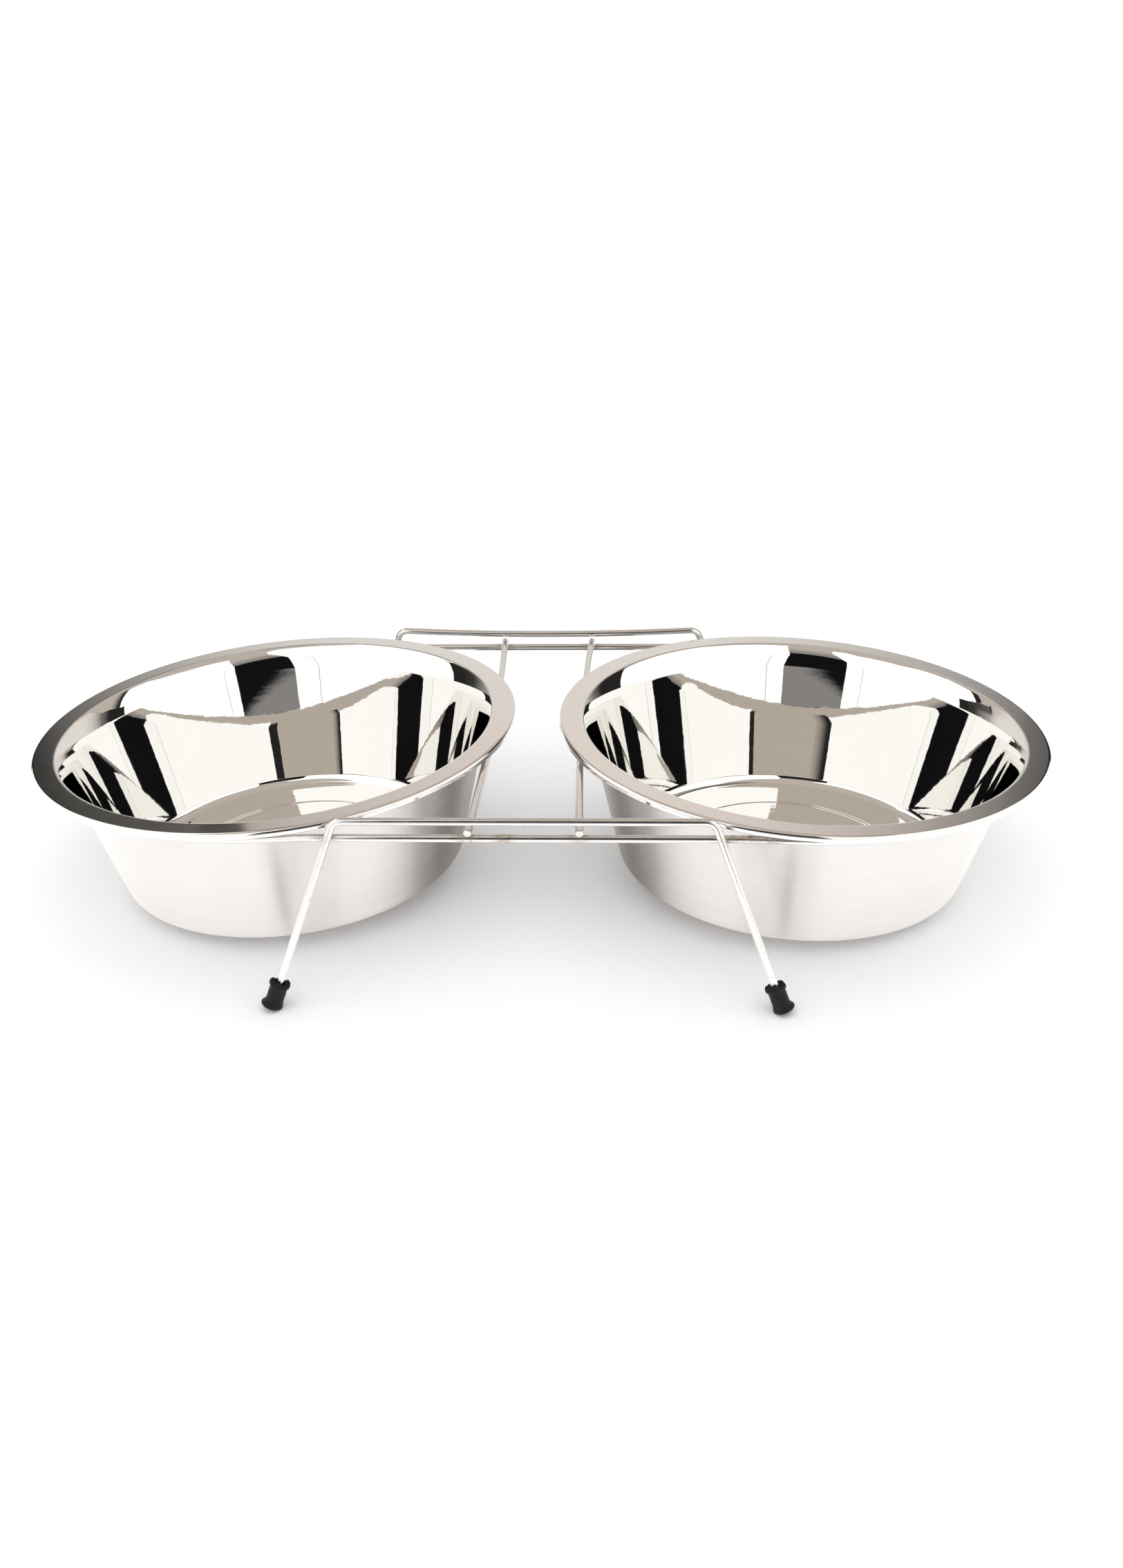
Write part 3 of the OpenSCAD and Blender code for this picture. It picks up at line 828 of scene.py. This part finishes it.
def paintedShadeCard():
    # painted shade: a grey card just above the floor between the bowls, seen only in reflections, which stands in
    # for the shade there and gives the satin walls their dark edges
    verts, colours, faces = [], [], []
    for j in range(shadeCard["rows"] + 1):
        y = shadeCard["front"] + shadeCard["rowLength"] * j
        half = shadeCard["half"] + shadeCard["widens"] * max(0, shadeCard["widensFrom"] - y)
        grey = shadeCard["grey"] + sum(more * ease(y, start, end) for more, start, end in shadeCard["paler"])
        verts += [(-half, y, shadeCard["lift"]), (half, y, shadeCard["lift"])]
        colours += [tuple(grey * c for c in shadeCard["tint"])] * 2
        if j:
            faces.append((2 * j - 2, 2 * j - 1, 2 * j + 1, 2 * j))
    addCard("paintedShadeCard", verts, faces, colours)


# the painted shade between the bowls, for the satin walls' reflections
paintedShadeCard()

panel = {"colour": (1.2, 1.2, 1.19), "high": 0.85, "backLow": 0.28}
flap = {"y": -0.424, "colour": (1.16, 1.16, 1.155), "seam": (0.55, 0.51, 0.47),
        "seamTop": 0.43, "seamInset": 0.002, "seamCore": 0.001, "seamEdge": 0.0035,
        "leftX": -0.251, "leftInnerX": -0.134, "leftCorner": 0.07,
        "rightX": 0.258, "rightInnerX": 0.174, "rightFoldX": 0.225, "rightCorner": 0.06}


def flapColour(outer, corner):
    # a hanging flap beside the slit, a little greyer than the panel, with a seam round its outer corner
    def colourAt(x, z):
        across, above = abs(x) - (abs(outer) - corner), z - (flap["seamTop"] - corner)
        away = math.hypot(across, above) if across > 0 and above > 0 else max(across, above)
        cloth = mixed(flap["colour"], panel["colour"],
                      ease(away, corner - flap["seamInset"], corner + flap["seamInset"]))
        return mixed(flap["seam"], cloth,
                     ease(abs(away - corner + flap["seamInset"]), flap["seamCore"], flap["seamEdge"]))
    return colourAt


atFlap, top = flap["y"], panel["high"]
leftX, leftInnerX = flap["leftX"], flap["leftInnerX"]
rightX, rightInnerX, rightFoldX = flap["rightX"], flap["rightInnerX"], flap["rightFoldX"]
leftFlap, rightFlap = flapColour(leftX, flap["leftCorner"]), flapColour(rightX, flap["rightCorner"])
curtain("flapLeft", [(leftX, atFlap, 0, top), (leftInnerX, atFlap, 0, top)], leftFlap, (80, 320))
curtain("flapLeftTop", [(leftInnerX, atFlap, 0.45, top), (-0.045, atFlap, 0.656, 0.79)], panel["colour"])
curtain("flapRight", [(rightInnerX, atFlap, 0, 0.45), (rightFoldX, atFlap, 0, 0.76)], rightFlap, (40, 280))
curtain("flapRightEdge", [(rightFoldX, atFlap, 0, top), (rightX, atFlap, 0, top)], rightFlap, (30, 320))

low = panel["backLow"]
curtain("panelLeft", [(-0.400, 0.160, 0, 0.70), (-0.415, 0, 0, 0.70), (-0.405, -0.180, 0, 0.75),
                      (-0.350, -0.340, 0, top), (leftX, atFlap, 0, top)], panel["colour"])
curtain("panelRight", [(rightX, atFlap, 0, top), (0.350, -0.340, 0, top), (0.405, -0.180, 0, 0.75),
                       (0.415, 0, 0, 0.68), (0.400, 0.200, 0, 0.68)], panel["colour"])
curtain("panelLeftBack", [(-0.257, 0.245, low, 0.70), (-0.340, 0.215, low, 0.70), (-0.400, 0.160, low, 0.70)],
        panel["colour"])
curtain("panelRightBack", [(0.400, 0.200, low, 0.68), (0.370, 0.230, low, 0.68)], panel["colour"])

edge = {"colour": (0.02, 0.02, 0.021), "roofShare": 0.84, "roofX": 0.263, "darkX": 0.35}


def edgeColour(x, z):
    # the roof's taupe runs out into the dark beside the right panel
    taupe = tuple(edge["roofShare"] * c for c in studio["roof"])
    return mixed(taupe, edge["colour"], ease(x, edge["roofX"], edge["darkX"]))


curtain("edgeLeft", [(-0.257, 0.245, low, 0.61), (-0.205, 0.262, low, 0.59)], edge["colour"])
curtain("edgeRight", [(0.370, 0.230, low, top), (0.263, 0.262, low, top)], edgeColour, (30, 1))

# a fade: where it starts, over what length, how much it takes off, and how sharply
paper = {"y": 0.380, "leftX": -0.300, "rightX": 0.330, "high": 0.34, "colour": (1.0, 0.96, 0.92),
         "warm": (1.03, 0.935, 0.865), "warmFrom": 0.20, "warmTo": 0.27, "level": 0.80,
         "rightFade": (0.08, 0.28, 0.70, 1.8), "lowLeftFade": (0.14, 0.16, 0.38, 1.7),
         "highLeftFade": (0.05, 0.20, 0.27, 1), "highEnd": (0.262, 0.27), "highEndLevel": 0.07}
gap = {"high": 0.33, "dim": 0.02, "rightGlow": 0.16, "rightFrom": 0.362, "rightTo": 0.33,
       "outerX": -0.40, "leftFrom": -0.352, "lowGlow": (0.045, 0.42), "highGlow": (0.05, 0.12),
       "turnFrom": 0.19, "turnTo": 0.26}


def fade(along, start, length, drop, power):
    return drop * max(0, (along - start) / length) ** power


def paperColour(x, z):
    # grey paper behind the table, dimmer to both ends and warmer above
    right = paper["level"] - fade(x, *paper["rightFade"])
    lower = right - fade(-x, *paper["lowLeftFade"])
    upper = right - fade(-x, *paper["highLeftFade"])
    upper += (paper["highEndLevel"] - upper) * ease(-x, *paper["highEnd"])
    rise = ease(z, paper["warmFrom"], paper["warmTo"])
    level = lower + (upper - lower) * rise
    return tuple(level * c for c in mixed(paper["colour"], paper["warm"], rise))


def gapColour(x, z):
    # the dark gaps beside the paper start as dim as its ends
    if x > 0:
        level = gap["dim"] + gap["rightGlow"] * ease(x, gap["rightFrom"], gap["rightTo"])
    else:
        inner = min(max((x - gap["leftFrom"]) / (paper["leftX"] - gap["leftFrom"]), 0), 1)
        lower, upper = mixed(*zip(gap["lowGlow"], gap["highGlow"]), inner)
        level = lower + (upper - lower) * ease(z, gap["turnFrom"], gap["turnTo"])
        level *= ease(x, gap["outerX"], gap["leftFrom"])
    return tuple(max(level, gap["dim"]) * c for c in paper["colour"])


high = gap["high"]
curtain("gapLeft", [(paper["leftX"], paper["y"], 0, high), (gap["outerX"], 0.160, 0, high)], gapColour, (60, 30))
curtain("gapRight", [(0.400, 0.200, 0, high), (0.365, 0.300, 0, high), (paper["rightX"], paper["y"], 0, high)],
        gapColour, (40, 1))
curtain("paperBack", [(x, paper["y"], 0, paper["high"]) for x in (paper["rightX"], paper["leftX"])],
        paperColour, (160, 30))

slit = {"dark": (0.006, 0.006, 0.007), "lip": (0.255, 0.243, 0.236), "lipHigh": 0.162, "lipFrom": 0.150,
        "roomY": -0.85, "roomHalf": 0.9, "roomHigh": 2.6,
        "darkTo": 0.835, "lipTo": 0.86, "roofFrom": 0.85, "roofTo": 1.25}


def lipColour(x, z):
    return mixed(slit["lip"], slit["dark"], ease(z, slit["lipFrom"], slit["lipHigh"]))


def roomColour(x, z):
    # dark room behind the slit, under a taupe roof
    above = mixed(slit["lip"], studio["roof"], ease(z, slit["roofFrom"], slit["roofTo"]))
    return mixed(slit["dark"], above, ease(z, slit["darkTo"], slit["lipTo"]))


curtain("slitLip", [(x, atFlap, 0, slit["lipHigh"]) for x in (leftInnerX, rightInnerX)], lipColour, (1, 160))
curtain("slitRoom", [(side * slit["roomHalf"], slit["roomY"], 0, slit["roomHigh"]) for side in (-1, 1)],
        roomColour, (1, 520))


# camera, where the photograph was taken from

view = {"at": (42.3 * mm, -658.9 * mm, 366.2 * mm), "yaw": -2.79, "pitch": 26.03, "roll": -1.11,
        "lens": 51.79, "sensor": 36, "nearest": 10 * mm}


def makeCamera():
    yaw, pitch, roll = (math.radians(view[k]) for k in ("yaw", "pitch", "roll"))
    ahead = Vector((math.sin(yaw) * math.cos(pitch), math.cos(yaw) * math.cos(pitch), -math.sin(pitch)))
    right = Vector((math.cos(yaw), -math.sin(yaw), 0))
    up = right.cross(ahead)
    across = right * math.cos(roll) + up * math.sin(roll)
    above = up * math.cos(roll) - right * math.sin(roll)
    data = bpy.data.cameras.new("photoCamera")
    data.sensor_fit = "HORIZONTAL"
    data.sensor_width = view["sensor"]
    data.lens = view["lens"]
    data.clip_start = view["nearest"]
    camera = bpy.data.objects.new("photoCamera", data)
    bpy.context.scene.collection.objects.link(camera)
    camera.matrix_world = Matrix((across, above, -ahead)).transposed().to_4x4()
    camera.location = view["at"]
    bpy.context.scene.camera = camera


makeCamera()
bpy.context.scene.view_settings.view_transform = "Standard"
print("studio done")
